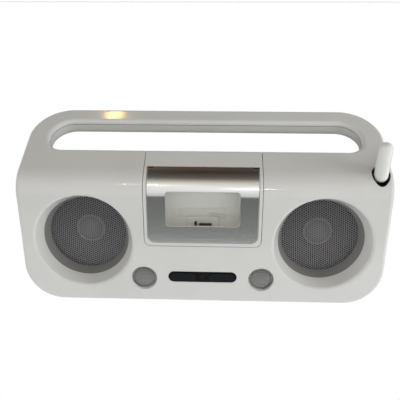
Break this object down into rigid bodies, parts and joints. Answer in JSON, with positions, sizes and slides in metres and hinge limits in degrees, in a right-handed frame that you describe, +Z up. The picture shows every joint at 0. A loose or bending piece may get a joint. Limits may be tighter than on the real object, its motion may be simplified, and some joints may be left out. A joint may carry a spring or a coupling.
{
  "type": "portable speaker dock",
  "caption": "Portable boombox with carry handle, twin woofers and tweeters, hinged window door over a dock cradle, two front keys and a swivel antenna stub.",
  "frame": {"origin": "on the resting plane, under the middle of the cabinet", "axes": "+X to the right seen from the front, +Y to the back, +Z up"},
  "size_m": [0.395, 0.1168, 0.198],
  "materials": {
    "white_shell": "glossy moulded white",
    "white_rear": "white, fine satin texture",
    "brushed_plate": "brushed across, clear anodised",
    "steel": "plated",
    "cradle_plastic": "light warm grey, satin",
    "black_plastic": "fine texture",
    "pill_black": "polished black",
    "ir_lens": "polished dark red-black",
    "ring_grey": "dark grey satin",
    "grille_metal": "perforated, grey paint",
    "basket_steel": "black paint",
    "cone": "dark pulp, foam edge",
    "dust_cap": "satin grey dome",
    "magnet": "ferrite with zinc plates",
    "tweeter": "silk dome in moulded frame",
    "circuit_board": "green solder mask",
    "foot_rubber": "soft pads"
  },
  "bodies": {
    "cabinet": {"front_housing": "white_shell", "center_bezel": "white_shell", "rear_housing": "white_rear", "door_hinge_brackets": "brushed_plate", "door_hinge_pins": "steel", "housing_screws": "steel", "woofer_screws": "steel", "battery_contacts": "steel", "dock_bay": "cradle_plastic", "dock_cradle": "cradle_plastic", "dock_connector": "black_plastic", "dock_key_pin": "black_plastic", "antenna_socket": "black_plastic", "rear_panel": "black_plastic", "dc_jack": "black_plastic", "audio_jack": "black_plastic", "antenna_jack": "black_plastic", "switch_body": "black_plastic", "battery_tray": "black_plastic", "control_bezel": "pill_black", "ir_window": "ir_lens", "left_woofer_ring": "ring_grey", "right_woofer_ring": "ring_grey", "left_woofer_grille": "grille_metal", "right_woofer_grille": "grille_metal", "left_tweeter_grille": "grille_metal", "right_tweeter_grille": "grille_metal", "left_woofer_basket": "basket_steel", "right_woofer_basket": "basket_steel", "left_woofer_cone": "cone", "right_woofer_cone": "cone", "left_woofer_dust_cap": "dust_cap", "right_woofer_dust_cap": "dust_cap", "left_woofer_magnet": "magnet", "right_woofer_magnet": "magnet", "left_tweeter_driver": "tweeter", "right_tweeter_driver": "tweeter", "main_board": "circuit_board", "button_board": "circuit_board", "rubber_feet": "foot_rubber"},
    "door": {"dock_door": "brushed_plate"},
    "left_key": {"left_button": "pill_black"},
    "right_key": {"right_button": "pill_black"},
    "battery_cover": {"battery_door": "white_rear"},
    "switch_slider": {"power_switch": "black_plastic"},
    "antenna_base": {"antenna_swivel": "black_plastic", "antenna_pin": "steel"},
    "antenna_arm": {"antenna_stub": "white_shell"}
  },
  "joints": [
    {"name": "door_hinge", "type": "hinge", "parent": "cabinet", "child": "door", "pos_m": [0, -0.0397, 0.15303], "axis": [-1, 0, 0], "range_deg": [0, 100]},
    {"name": "left_key_press", "type": "slide", "parent": "cabinet", "child": "left_key", "axis": [0, 1, 0], "range_m": [0, 0.0012], "stiffness_N_per_m": 300, "springref_m": -0.0006},
    {"name": "right_key_press", "type": "slide", "parent": "cabinet", "child": "right_key", "axis": [0, 1, 0], "range_m": [0, 0.0012], "stiffness_N_per_m": 300, "springref_m": -0.0006},
    {"name": "battery_door_lift", "type": "slide", "parent": "cabinet", "child": "battery_cover", "axis": [0, 1, 0], "range_m": [0, 0.03]},
    {"name": "power_switch_slide", "type": "slide", "parent": "cabinet", "child": "switch_slider", "axis": [1, 0, 0], "range_m": [0, 0.004]},
    {"name": "antenna_turn", "type": "hinge", "parent": "cabinet", "child": "antenna_base", "pos_m": [0.1842, -0.0447, 0.1484], "axis": [0, 0, 1], "range_deg": [-20, 20]},
    {"name": "antenna_tilt", "type": "hinge", "parent": "antenna_base", "child": "antenna_arm", "pos_m": [0.1842, -0.0447, 0.1484], "axis": [1, 0, 0], "range_deg": [0, 48]}
  ]
}
